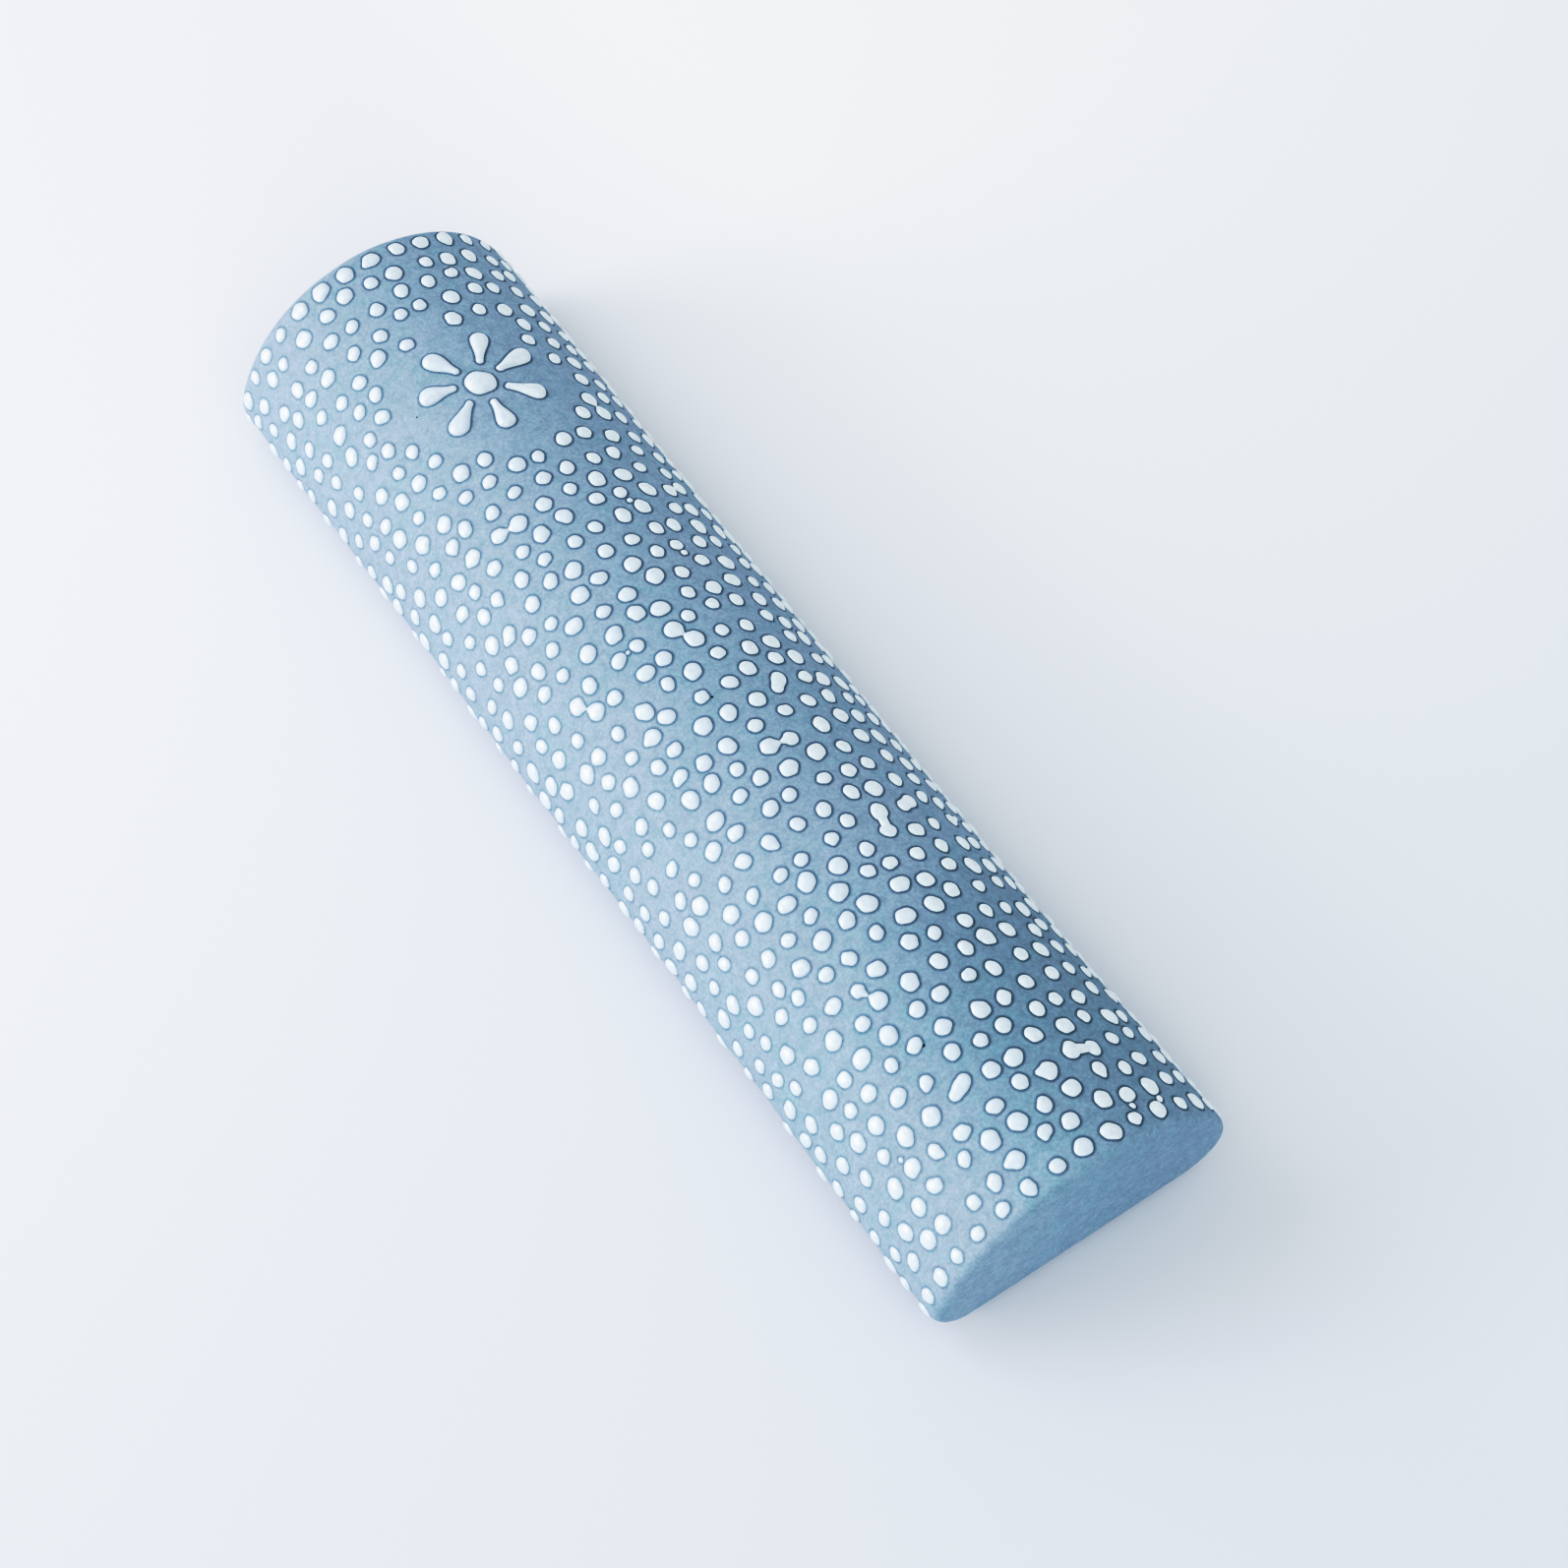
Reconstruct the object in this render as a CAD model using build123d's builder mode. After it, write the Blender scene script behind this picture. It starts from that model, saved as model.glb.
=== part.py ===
from build123d import *

import os
import random
from math import atan2, copysign, cos, degrees, hypot, radians, sin

# A half-round ceramic scroll case for a door post, with its stopper, its scroll and its foam tape pads.
# +Z points out of the wall, +Y up the door post. The origin is the middle of the mounting plane,
# which is the outer face of both tape pads. Millimetres.

# ---- Driving dimensions ---------------------------------------------------------------------------------

case_length = 120.0
case_width = 31.5
ceramic_depth = 17.2        # from the flat back to the crown of the dome
corner_radius = 4.2         # the long rounded edges beside the flat back
wall = 3.2                  # thickness of the rolled clay slab
cap_thickness = 3.5         # the two end slabs
arris_radius = 0.9          # the sponged edge around each end face

plate_width = 22.0          # the back slab, luted between the lips of the front slab

pad_width = 18.0
pad_length = 30.0
pad_thickness = 0.8
pad_corner = 1.0
pad_spacing = 80.0          # between the middles of the two pads

hole_radius = 5.2           # loading hole in the top end slab
recess_radius = 6.0         # shallow recess that takes the stopper's flange
recess_depth = 0.7
recess_softening = 0.25     # rounding of the recess's mouth

flange_radius = 5.9
flange_thickness = 1.3
flange_rounding = 0.4
shank_radius = 4.7
shank_length = 6.8
nose_radius = 4.1
rib_radius = 5.15           # the ribs only just clear the hole here; the real rubber is squeezed by it
rib_width = 1.0
rib_positions = (1.0, 2.4, 3.8)     # middle of each rib, measured down from the flange

scroll_axis_height = 8.6    # above the ceramic's flat back
sleeve_radius = 4.9
sleeve_wall = 0.25
sleeve_length = 104.0
sleeve_end_gap = 0.1        # the sleeve stands just off the bottom end slab
parchment_length = 100.0
parchment_thickness = 0.35
parchment_pitch = 0.45      # from one turn to the next
parchment_inner_radius = 2.3
parchment_half_turns = 9

slip_sunk = 0.15            # how far the fired slip bites into the clay
dot_height = 0.3
dot_radii = (0.66, 0.74, 0.83)
dot_row_pitch = 2.65        # between the rows of dots, along the case
dot_pitch = 2.95            # between dots in a row, around the dome
dot_scatter = 0.5           # how far the maker's hand strays from the even pattern
row_drift = 0.2             # how far a whole row slips around the dome, as a share of the pitch
border_steadiness = 0.25    # the rows beside the end faces stray only this share of that
dot_gap = 2.15              # crowded dots are pushed towards this distance, centre to centre
dot_clearance = 0.1         # the least space left between two dots' edges
dot_end_margin = 1.7        # from an end face to the middle of the last row
dot_lean_limit = 105.0      # degrees from the crown's normal to the lowest dot's normal
spreading_rounds = 12       # passes that push crowded dots apart
dot_seed = 24

flower_centre = (1.0, 39.3)
flower_bare_radius = 8.6    # no dots inside this distance of the flower's middle
flower_height = 0.5
flower_heart_radius = 1.45
petal_count = 7
petal_inner = 2.75          # from the flower's middle to the middle of each petal's narrow end
petal_inner_radius = 0.42
petal_outer = 5.65          # and to the middle of its wide end
petal_outer_radius = 0.98
first_petal_angle = 12.0    # degrees from +X

# ---- Values worked out from them ------------------------------------------------------------------------

half_length = case_length / 2
slab_end = half_length - cap_thickness
back_z = pad_thickness
corner_x = case_width / 2 - corner_radius
corner_z = back_z + corner_radius
# The dome's arc is tangent to both corner arcs and reaches the full depth on the centre line.
dome_rise = ceramic_depth - corner_radius
dome_radius = (corner_x**2 + dome_rise**2 - corner_radius**2) / (2 * (dome_rise - corner_radius))
dome_z = back_z + ceramic_depth - dome_radius
tangent_angle = degrees(atan2(corner_z - dome_z, corner_x))
dome_half_arc = dome_radius * radians(90 - tangent_angle)
scroll_z = back_z + scroll_axis_height
scroll_axis = Axis((0, 0, scroll_z), (0, 1, 0))
flange_base = half_length - recess_depth
shank_end = flange_base - shank_length
sleeve_low = -slab_end + sleeve_end_gap
parchment_low = sleeve_low + (sleeve_length - parchment_length) / 2
last_row = half_length - dot_end_margin
dot_reach = dome_half_arc + corner_radius * radians(dot_lean_limit - 90 + tangent_angle)


def station(y):
    """The cross-section plane at height y; an extrusion from it runs down the case, towards -Y."""
    return Plane.XZ.offset(-y)


def dome_outline(inset=0.0, mode=Mode.ADD):
    """Draws the half-round cross-section, pulled in on all sides by inset, in the current sketch."""
    round_edge = corner_radius - inset
    flat = back_z + inset
    with BuildLine() as outline:
        Line((-corner_x, flat), (corner_x, flat))
        CenterArc((corner_x, corner_z), round_edge, -90, 90 + tangent_angle)
        CenterArc((0, dome_z), dome_radius - inset, tangent_angle, 180 - 2 * tangent_angle)
        CenterArc((-corner_x, corner_z), round_edge, 180 - tangent_angle, 90 + tangent_angle)
    make_face(outline.edges(), mode=mode)


# ---- The four clay slabs --------------------------------------------------------------------------------

with BuildPart() as front_shell:
    with BuildSketch(station(slab_end)):
        dome_outline()
        dome_outline(wall, mode=Mode.SUBTRACT)
        with Locations((0, back_z + wall / 2)):
            Rectangle(plate_width, wall, mode=Mode.SUBTRACT)
    extrude(amount=2 * slab_end)

with BuildPart() as back_plate:
    with BuildSketch(station(slab_end)):
        with Locations((0, back_z + wall / 2)):
            Rectangle(plate_width, wall)
    extrude(amount=2 * slab_end)

with BuildPart() as bottom_end_cap:
    with BuildSketch(station(-slab_end)):
        dome_outline()
    extrude(amount=cap_thickness)
    fillet(bottom_end_cap.faces().sort_by(Axis.Y)[0].edges(), arris_radius)

with BuildPart() as top_end_cap:
    with BuildSketch(station(half_length)):
        dome_outline()
    extrude(amount=cap_thickness)
    fillet(top_end_cap.faces().sort_by(Axis.Y)[-1].edges(), arris_radius)
    with Locations(Plane(origin=(0, half_length, scroll_z), z_dir=(0, 1, 0))):
        CounterBoreHole(hole_radius, recess_radius, recess_depth, cap_thickness)
    recess_mouth = top_end_cap.faces().sort_by(Axis.Y)[-1].inner_wires()[0].edges()
    fillet(recess_mouth, recess_softening)

# ---- Raised slip ----------------------------------------------------------------------------------------


def dome_place(across, y):
    """The place on the dome that is this far around from the crown, with +Z along the surface normal."""
    side = copysign(1, across)
    distance = abs(across)
    if distance <= dome_half_arc:
        lean = distance / dome_radius
        x = dome_radius * sin(lean)
        z = dome_z + dome_radius * cos(lean)
    else:
        lean = radians(90 - tangent_angle) + (distance - dome_half_arc) / corner_radius
        x = corner_x + corner_radius * sin(lean)
        z = corner_z + corner_radius * cos(lean)
    return Location((side * x, y, z), (0, side * degrees(lean), 0))


def push_apart(dots):
    """Moves each crowded pair of dots apart a little, and keeps all of them inside the field."""
    for i, first in enumerate(dots):
        for second in dots[i + 1:]:
            gap_across = second[0] - first[0]
            gap_along = second[1] - first[1]
            if abs(gap_along) > dot_gap or abs(gap_across) > dot_gap:
                continue
            gap = hypot(gap_across, gap_along)
            if gap == 0 or gap >= dot_gap:
                continue
            push = (dot_gap - gap) / gap / 2
            first[0] -= gap_across * push
            second[0] += gap_across * push
            first[1] -= gap_along * push
            second[1] += gap_along * push
    for dot in dots:
        dot[0] = max(-dot_reach, min(dot_reach, dot[0]))
        dot[1] = max(-last_row, min(last_row, dot[1]))


def dot_field():
    """Centres of all dots as [across, along]: staggered rows around the dome, loosened by hand scatter."""
    draw = random.Random(dot_seed)
    row_count = round(2 * last_row / dot_row_pitch)
    dots_in_row = round(2 * dot_reach / dot_pitch)
    dots = []
    for row in range(row_count + 1):
        is_border = row in (0, row_count)
        scatter = dot_scatter * (border_steadiness if is_border else 1)
        stagger = 0 if is_border else 0.5 * (row % 2) + draw.uniform(-row_drift, row_drift)
        row_y = -last_row + row * 2 * last_row / row_count
        for k in range(dots_in_row + 1):
            across = -dot_reach + (k + stagger) * 2 * dot_reach / dots_in_row
            dots.append([across + draw.uniform(-scatter, scatter), row_y + draw.uniform(-scatter, scatter)])
    for _ in range(spreading_rounds):
        push_apart(dots)
    return dots


def has_room(dot, kept):
    """True for a dot off the flower's bare patch that leaves its clearance to every dot kept so far."""
    if hypot(dot[0] - flower_centre[0], dot[1] - flower_centre[1]) < flower_bare_radius:
        return False
    least = 2 * max(dot_radii) + dot_clearance
    return all(hypot(dot[0] - other[0], dot[1] - other[1]) >= least for other in kept)


def slip_dot(radius):
    """One raised dot: a shallow cap on the surface, with its foot sunk in the clay."""
    sphere_radius = (radius**2 + dot_height**2) / (2 * dot_height)
    with BuildPart() as dot:
        with BuildSketch(Plane.XZ):
            with BuildLine():
                Polyline((0, dot_height), (0, -slip_sunk), (radius, -slip_sunk), (radius, 0))
                RadiusArc((radius, 0), (0, dot_height), -sphere_radius)
            make_face()
        revolve(axis=Axis.Z)
    return dot.part


kept_dots = []
for dot in dot_field():
    if has_room(dot, kept_dots):
        kept_dots.append(dot)
size_draw = random.Random(dot_seed)
places_by_radius = {radius: [] for radius in dot_radii}
for across, y in kept_dots:
    places_by_radius[size_draw.choice(dot_radii)].append(dome_place(across, y))
dot_shapes = {radius: slip_dot(radius) for radius in dot_radii}

with BuildPart() as slip_dots:
    for radius, places in places_by_radius.items():
        with Locations(*places):
            add(dot_shapes[radius])


def petal_outline():
    """One trailed petal pointing along +X from the flower's middle, wide at its outer end."""
    with BuildSketch() as petal:
        with Locations((petal_inner, 0)):
            Circle(petal_inner_radius)
        with Locations((petal_outer, 0)):
            Circle(petal_outer_radius)
        make_hull()
    return petal.sketch


petal_shape = petal_outline()

with BuildPart() as slip_flower:
    with BuildSketch(Plane.XY.offset(corner_z)):
        with Locations(flower_centre):
            Circle(flower_heart_radius)
            with PolarLocations(0, petal_count, start_angle=first_petal_angle):
                add(petal_shape)
    extrude(amount=ceramic_depth)
    with BuildSketch(station(flower_centre[1] + flower_bare_radius)):
        dome_outline(-flower_height)
        dome_outline(slip_sunk, mode=Mode.SUBTRACT)
    extrude(amount=2 * flower_bare_radius, mode=Mode.INTERSECT)

# ---- Stopper --------------------------------------------------------------------------------------------

with BuildPart() as stopper:
    with BuildSketch(Plane.YZ):
        with BuildLine():
            Polyline(
                (shank_end, scroll_z),
                (shank_end, scroll_z + nose_radius),
                (shank_end + shank_radius - nose_radius, scroll_z + shank_radius),
                (flange_base, scroll_z + shank_radius),
                (flange_base, scroll_z + flange_radius),
                (flange_base + flange_thickness, scroll_z + flange_radius),
                (flange_base + flange_thickness, scroll_z),
                close=True,
            )
        make_face()
        for position in rib_positions:
            middle = flange_base - position
            with BuildLine():
                ThreePointArc(
                    (middle - rib_width / 2, scroll_z + shank_radius),
                    (middle, scroll_z + rib_radius),
                    (middle + rib_width / 2, scroll_z + shank_radius),
                )
                Line(
                    (middle + rib_width / 2, scroll_z + shank_radius),
                    (middle - rib_width / 2, scroll_z + shank_radius),
                )
            make_face()
    revolve(axis=scroll_axis)
    fillet(stopper.faces().sort_by(Axis.Y)[-1].edges(), flange_rounding)

# ---- Scroll ---------------------------------------------------------------------------------------------

with BuildPart() as parchment_scroll:
    with BuildSketch(station(parchment_low + parchment_length)):
        with BuildLine():
            # Half circles about two centres, each wider than the last, make the rolled sheet.
            for turn in range(parchment_half_turns):
                side = -1 if turn % 2 == 0 else 1
                centre = (side * parchment_pitch / 4, scroll_z)
                inside = parchment_inner_radius + turn * parchment_pitch / 2
                start_angle = 0 if turn % 2 == 0 else 180
                CenterArc(centre, inside, start_angle, 180)
                CenterArc(centre, inside + parchment_thickness, start_angle, 180)
            # The number of half turns is odd, so the sheet ends on the side opposite its start.
            first = parchment_inner_radius - parchment_pitch / 4
            last = -parchment_inner_radius - parchment_pitch * (parchment_half_turns - 0.5) / 2
            Line((first, scroll_z), (first + parchment_thickness, scroll_z))
            Line((last, scroll_z), (last - parchment_thickness, scroll_z))
        make_face()
    extrude(amount=parchment_length)

with BuildPart() as scroll_sleeve:
    with BuildSketch(station(sleeve_low + sleeve_length)):
        with Locations((0, scroll_z)):
            Circle(sleeve_radius)
            Circle(sleeve_radius - sleeve_wall, mode=Mode.SUBTRACT)
    extrude(amount=sleeve_length)

# ---- Foam tape pads -------------------------------------------------------------------------------------

with BuildPart() as foam_pad_top:
    with BuildSketch(Plane.XY):
        with Locations((0, pad_spacing / 2)):
            RectangleRounded(pad_width, pad_length, pad_corner)
    extrude(amount=pad_thickness)

with BuildPart() as foam_pad_bottom:
    with BuildSketch(Plane.XY):
        with Locations((0, -pad_spacing / 2)):
            RectangleRounded(pad_width, pad_length, pad_corner)
    extrude(amount=pad_thickness)

# ---- Write one STEP per piece ---------------------------------------------------------------------------

pieces = {
    "front_shell": front_shell,
    "back_plate": back_plate,
    "bottom_end_cap": bottom_end_cap,
    "top_end_cap": top_end_cap,
    "slip_dots": slip_dots,
    "slip_flower": slip_flower,
    "stopper": stopper,
    "parchment_scroll": parchment_scroll,
    "scroll_sleeve": scroll_sleeve,
    "foam_pad_top": foam_pad_top,
    "foam_pad_bottom": foam_pad_bottom,
}
os.makedirs("parts", exist_ok=True)
for label, piece in pieces.items():
    piece.part.label = label
    export_step(piece.part, f"parts/{label}.step")
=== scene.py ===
"""Looks of the half-round ceramic scroll case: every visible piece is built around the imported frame."""

import math
import random

import bmesh
import bpy
import numpy as np
from mathutils import Matrix, Vector


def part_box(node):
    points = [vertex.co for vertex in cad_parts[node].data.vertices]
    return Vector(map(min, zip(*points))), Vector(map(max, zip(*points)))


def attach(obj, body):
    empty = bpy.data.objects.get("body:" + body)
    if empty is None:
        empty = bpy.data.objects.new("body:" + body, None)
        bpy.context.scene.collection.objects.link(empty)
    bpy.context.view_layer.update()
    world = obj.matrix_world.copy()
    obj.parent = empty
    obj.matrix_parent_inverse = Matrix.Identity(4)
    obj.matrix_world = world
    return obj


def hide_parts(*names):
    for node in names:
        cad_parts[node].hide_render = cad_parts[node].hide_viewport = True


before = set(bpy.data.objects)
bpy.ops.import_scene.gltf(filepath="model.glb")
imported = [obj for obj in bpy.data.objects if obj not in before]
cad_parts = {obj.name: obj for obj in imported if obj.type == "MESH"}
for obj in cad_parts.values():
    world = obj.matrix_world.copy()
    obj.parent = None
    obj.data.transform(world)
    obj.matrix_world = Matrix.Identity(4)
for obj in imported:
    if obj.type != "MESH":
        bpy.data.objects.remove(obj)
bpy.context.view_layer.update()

MM = 0.001

# ---- Sizes taken from the frame -------------------------------------------------------------------------

shell_low, shell_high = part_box("front_shell")
plate_low, plate_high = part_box("back_plate")
_, cap_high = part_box("top_end_cap")
stopper_low, stopper_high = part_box("stopper")
sleeve_low, sleeve_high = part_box("scroll_sleeve")
parchment_low, parchment_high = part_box("parchment_scroll")

BACK = shell_low.z              # the flat back of the ceramic
CROWN = shell_high.z            # the top of the dome
HALF_WIDTH = shell_high.x
HALF_LENGTH = cap_high.y
SEAM = shell_high.y             # where the front slab meets the end slabs
WALL = plate_high.z - plate_low.z
LIP = plate_high.x              # half the width of the back slab
SCROLL_Z = (sleeve_low.z + sleeve_high.z) / 2
SLEEVE_RADIUS = (sleeve_high.x - sleeve_low.x) / 2
FLANGE_RADIUS = (stopper_high.x - stopper_low.x) / 2

# ---- Sizes of the clay that the boxes don't give --------------------------------------------------------

CORNER = 4.2 * MM               # the long rounded edges beside the flat back
ARRIS = 0.9 * MM                # the sponged edge around each end face
HOLE_RADIUS = 5.2 * MM
RECESS_RADIUS = 6.0 * MM
RECESS_DEPTH = 0.7 * MM
MOUTH_ROUNDING = 0.3 * MM       # around the recess
HOLE_BEVEL = 0.15 * MM

CORNER_X = HALF_WIDTH - CORNER
CORNER_Z = BACK + CORNER
RISE = CROWN - BACK - CORNER
DOME_RADIUS = (CORNER_X**2 + RISE**2 - CORNER**2) / (2 * (RISE - CORNER))
DOME_Z = CROWN - DOME_RADIUS
DOME_LEAN = math.pi / 2 - math.atan2(CORNER_Z - DOME_Z, CORNER_X)   # normal's lean where the dome ends
DOME_ARC = DOME_RADIUS * DOME_LEAN
CORNER_ARC = CORNER * (math.pi - DOME_LEAN)
HALF_GIRTH = DOME_ARC + CORNER_ARC + CORNER_X     # from the crown around to the middle of the back

# ---- How far the hand-made clay strays from the true outline --------------------------------------------

# Each layer of unevenness: the wavelength, the seed of its directions, and the height.
UNEVENNESS = (
    (38 * MM, 3, 0.10 * MM),
    (9 * MM, 5, 0.030 * MM),
    (3.2 * MM, 8, 0.008 * MM),
)
WAIST_DEPTH = 0.42 * MM         # the right flank is drawn in here
WAIST_AT = -14 * MM
WAIST_LENGTH = 32 * MM
FLARE_HEIGHT = 0.28 * MM        # and stands out again towards the near end
FLARE_FROM = 30 * MM
FLARE_TO = 60 * MM
RIGHT_FLANK_FROM = 6 * MM       # distances around the outline from the crown
RIGHT_FLANK_TO = 18 * MM
BACK_FROM = DOME_ARC + 2.5 * MM
BACK_TO = DOME_ARC + CORNER_ARC
LEFT_CORNER_SOFTNESS = 0.25     # the arris is this much wider on the left corner
LEFT_CORNER_SPREAD = 6 * MM
# Each layer of unevenness of an end face: the wavelength, the seed and the height.
FACE_UNEVENNESS = ((12 * MM, 21, 0.05 * MM), (4 * MM, 22, 0.012 * MM))

# ---- The clay surface -----------------------------------------------------------------------------------


def section(across):
    """Point and outward normal, in x and z, at a distance around the outline from the crown."""
    side = np.where(across < 0, -1.0, 1.0)
    s = np.abs(across)
    lean_dome = s / DOME_RADIUS
    lean_corner = DOME_LEAN + (s - DOME_ARC) / CORNER
    on_dome = s <= DOME_ARC
    on_flat = s >= DOME_ARC + CORNER_ARC
    lean = np.where(on_dome, lean_dome, np.where(on_flat, math.pi, lean_corner))
    x = np.where(on_dome, DOME_RADIUS * np.sin(lean), CORNER_X + CORNER * np.sin(lean))
    z = np.where(on_dome, DOME_Z + DOME_RADIUS * np.cos(lean), CORNER_Z + CORNER * np.cos(lean))
    x = np.where(on_flat, HALF_GIRTH - s, x)
    point = np.stack([side * x, np.zeros_like(x), z], axis=-1)
    normal = np.stack([side * np.sin(lean), np.zeros_like(x), np.cos(lean)], axis=-1)
    return point, normal


def waves(points, wavelength, seed, count=14):
    """A smooth random height of about -1 to 1 at each point, with features of about this wavelength."""
    draw = random.Random(seed)
    total = np.zeros(points.shape[:-1])
    for _ in range(count):
        direction = Vector([draw.gauss(0, 1) for _ in range(3)]).normalized()
        stretch = draw.uniform(0.7, 1.5)
        phase = draw.uniform(0, 2 * math.pi)
        total += np.sin(points @ np.array(direction) * 2 * math.pi * stretch / wavelength + phase)
    return total / math.sqrt(count)


def smooth_step(low, high, value):
    t = np.clip((value - low) / (high - low), 0, 1)
    return t * t * (3 - 2 * t)


def layered_waves(points, layers):
    return sum(waves(points, wavelength, seed) * height for wavelength, seed, height in layers)


def hand_made_offset(across, y):
    """How far the clay stands proud of the true outline: nothing on the flat back, a little on the dome."""
    base, _ = section(across)
    base = base + np.stack([np.zeros_like(y), y, np.zeros_like(y)], axis=-1)
    off_the_back = 1 - smooth_step(BACK_FROM, BACK_TO, np.abs(across))
    right_flank = smooth_step(RIGHT_FLANK_FROM, RIGHT_FLANK_TO, across)
    waist = -WAIST_DEPTH * np.exp(-((y - WAIST_AT) / WAIST_LENGTH) ** 2)
    flare = FLARE_HEIGHT * smooth_step(FLARE_FROM, FLARE_TO, -y)
    return (layered_waves(base, UNEVENNESS) + (waist + flare) * right_flank) * off_the_back


def arris_radius(across):
    """The sponged edge of an end face, softer on the left corner than elsewhere."""
    left_corner = np.exp(-((across + DOME_ARC) / LEFT_CORNER_SPREAD) ** 2)
    return ARRIS * (1 + LEFT_CORNER_SOFTNESS * left_corner)


def clay_surface(across, y):
    """Point and normal on the outside of the clay, bending over the arris near each end."""
    across = np.asarray(across, float)
    y = np.asarray(y, float)
    point, normal = section(across)
    radius = arris_radius(across)
    end = np.where(y < 0, -1.0, 1.0)
    past = np.clip((np.abs(y) - (HALF_LENGTH - radius)) / radius, 0, 1)
    tilt = np.arcsin(past)
    inset = radius * (1 - np.cos(tilt))
    point = point + normal * (hand_made_offset(across, y) - inset)[..., None]
    point[..., 1] = y
    normal = normal * np.cos(tilt)[..., None]
    normal[..., 1] = end * np.sin(tilt)
    return point, normal


# ---- Mesh helpers ---------------------------------------------------------------------------------------


def new_piece(name, vertices, faces, body, replaced, sharp_angle=38):
    """Makes a smooth-shaded mesh object that rides on a body and stands for a CAD node."""
    mesh = bpy.data.meshes.new(name)
    mesh.from_pydata([tuple(v) for v in vertices], [], faces)
    shape = bmesh.new()
    shape.from_mesh(mesh)
    bmesh.ops.recalc_face_normals(shape, faces=shape.faces)
    shape.to_mesh(mesh)
    shape.free()
    mesh.shade_smooth()
    mesh.set_sharp_from_angle(angle=math.radians(sharp_angle))
    piece = bpy.data.objects.new(name, mesh)
    bpy.context.scene.collection.objects.link(piece)
    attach(piece, body)
    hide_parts(replaced)
    return piece


def ring_faces(first, second):
    """Quads between two closed rings of vertex numbers."""
    count = len(first)
    return [(first[k], first[(k + 1) % count], second[(k + 1) % count], second[k]) for k in range(count)]


def strip_faces(first, second):
    """Quads between two open rows of vertex numbers."""
    return [(first[k], first[k + 1], second[k + 1], second[k]) for k in range(len(first) - 1)]


def fan_faces(centre, ring):
    count = len(ring)
    return [(centre, ring[k], ring[(k + 1) % count]) for k in range(count)]


# ---- The four clay slabs --------------------------------------------------------------------------------


def closed_slab(name, replaced, outer, inner):
    """A slab between two grids of points, closed on all four sides."""
    rows, columns = outer.shape[:2]
    outer_ids = np.arange(rows * columns).reshape(rows, columns)
    inner_ids = outer_ids + rows * columns
    faces = []
    for row in range(rows - 1):
        faces += strip_faces(outer_ids[row].tolist(), outer_ids[row + 1].tolist())
        faces += strip_faces(inner_ids[row + 1].tolist(), inner_ids[row].tolist())
    faces += strip_faces(inner_ids[0].tolist(), outer_ids[0].tolist())
    faces += strip_faces(outer_ids[-1].tolist(), inner_ids[-1].tolist())
    faces += strip_faces(outer_ids[:, 0].tolist(), inner_ids[:, 0].tolist())
    faces += strip_faces(inner_ids[:, -1].tolist(), outer_ids[:, -1].tolist())
    vertices = np.concatenate([outer.reshape(-1, 3), inner.reshape(-1, 3)])
    return new_piece(name, vertices, faces, "ceramic_body", replaced)


def front_slab(along):
    """The front slab, bent around the dome and both long edges."""
    reach = HALF_GIRTH - LIP
    across, y = np.meshgrid(np.linspace(-reach, reach, 170), along)
    outer, _ = clay_surface(across, y)
    point, normal = section(across)
    inner = point - normal * WALL
    inner[..., 1] = y
    return closed_slab("front_shell_clay", "front_shell", outer, inner)


def back_slab(along):
    """The back slab: a flat bar between the lips of the front slab."""
    x, y = np.meshgrid(np.linspace(-LIP, LIP, 40), along)
    outer = np.stack([x, y, np.full_like(x, plate_low.z)], axis=-1)
    inner = np.stack([x, y, np.full_like(x, plate_high.z)], axis=-1)
    return closed_slab("back_plate_clay", "back_plate", outer, inner)


def lathe_of_rings(name, rings, body, replaced, closed_loop=False):
    """Joins rings of equal length in order. Ends are closed with fans, or the last ring meets the first."""
    size = len(rings[0])
    vertices = np.concatenate(rings)
    ids = [list(range(k * size, (k + 1) * size)) for k in range(len(rings))]
    faces = []
    for first, second in zip(ids, ids[1:]):
        faces += ring_faces(first, second)
    if closed_loop:
        faces += ring_faces(ids[-1], ids[0])
    else:
        start, end = len(vertices), len(vertices) + 1
        vertices = np.concatenate([vertices, [rings[0].mean(axis=0)], [rings[-1].mean(axis=0)]])
        faces += [tuple(reversed(face)) for face in fan_faces(start, ids[0])]
        faces += fan_faces(end, ids[-1])
    return new_piece(name, vertices, faces, body, replaced)


def end_slab_skin(end, samples):
    """Rings of an end slab from its inner plane, along the side and over the arris, to the end face."""
    across = np.linspace(-HALF_GIRTH, HALF_GIRTH, samples, endpoint=False)
    radius = arris_radius(across)
    side_end = HALF_LENGTH - radius
    rings = []
    for share in np.linspace(0, 1, 5):
        y = SEAM + (side_end - SEAM) * share
        rings.append(clay_surface(across, end * y)[0])
    for turn in np.linspace(0, math.pi / 2, 9)[1:]:
        y = side_end + radius * math.sin(turn)
        rings.append(clay_surface(across, end * y)[0])
    return rings


def face_texture(ring, end):
    """Gives a ring on the end face the slight unevenness of a hand-rolled slab."""
    uneven = ring.copy()
    uneven[:, 1] += end * layered_waves(ring, FACE_UNEVENNESS)
    return uneven


def bottom_cap(samples=300):
    rings = end_slab_skin(-1, samples)
    centre = np.array([0, -HALF_LENGTH, BACK + 0.45 * (CROWN - BACK)])
    rim = rings[-1]
    for share in np.linspace(1, 0.04, 26)[1:]:
        ring = centre + (rim - centre) * share
        rings.append(face_texture(ring, -1) if share < 0.97 else ring)
    return lathe_of_rings("bottom_cap_clay", rings[::-1], "ceramic_body", "bottom_end_cap")


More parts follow.
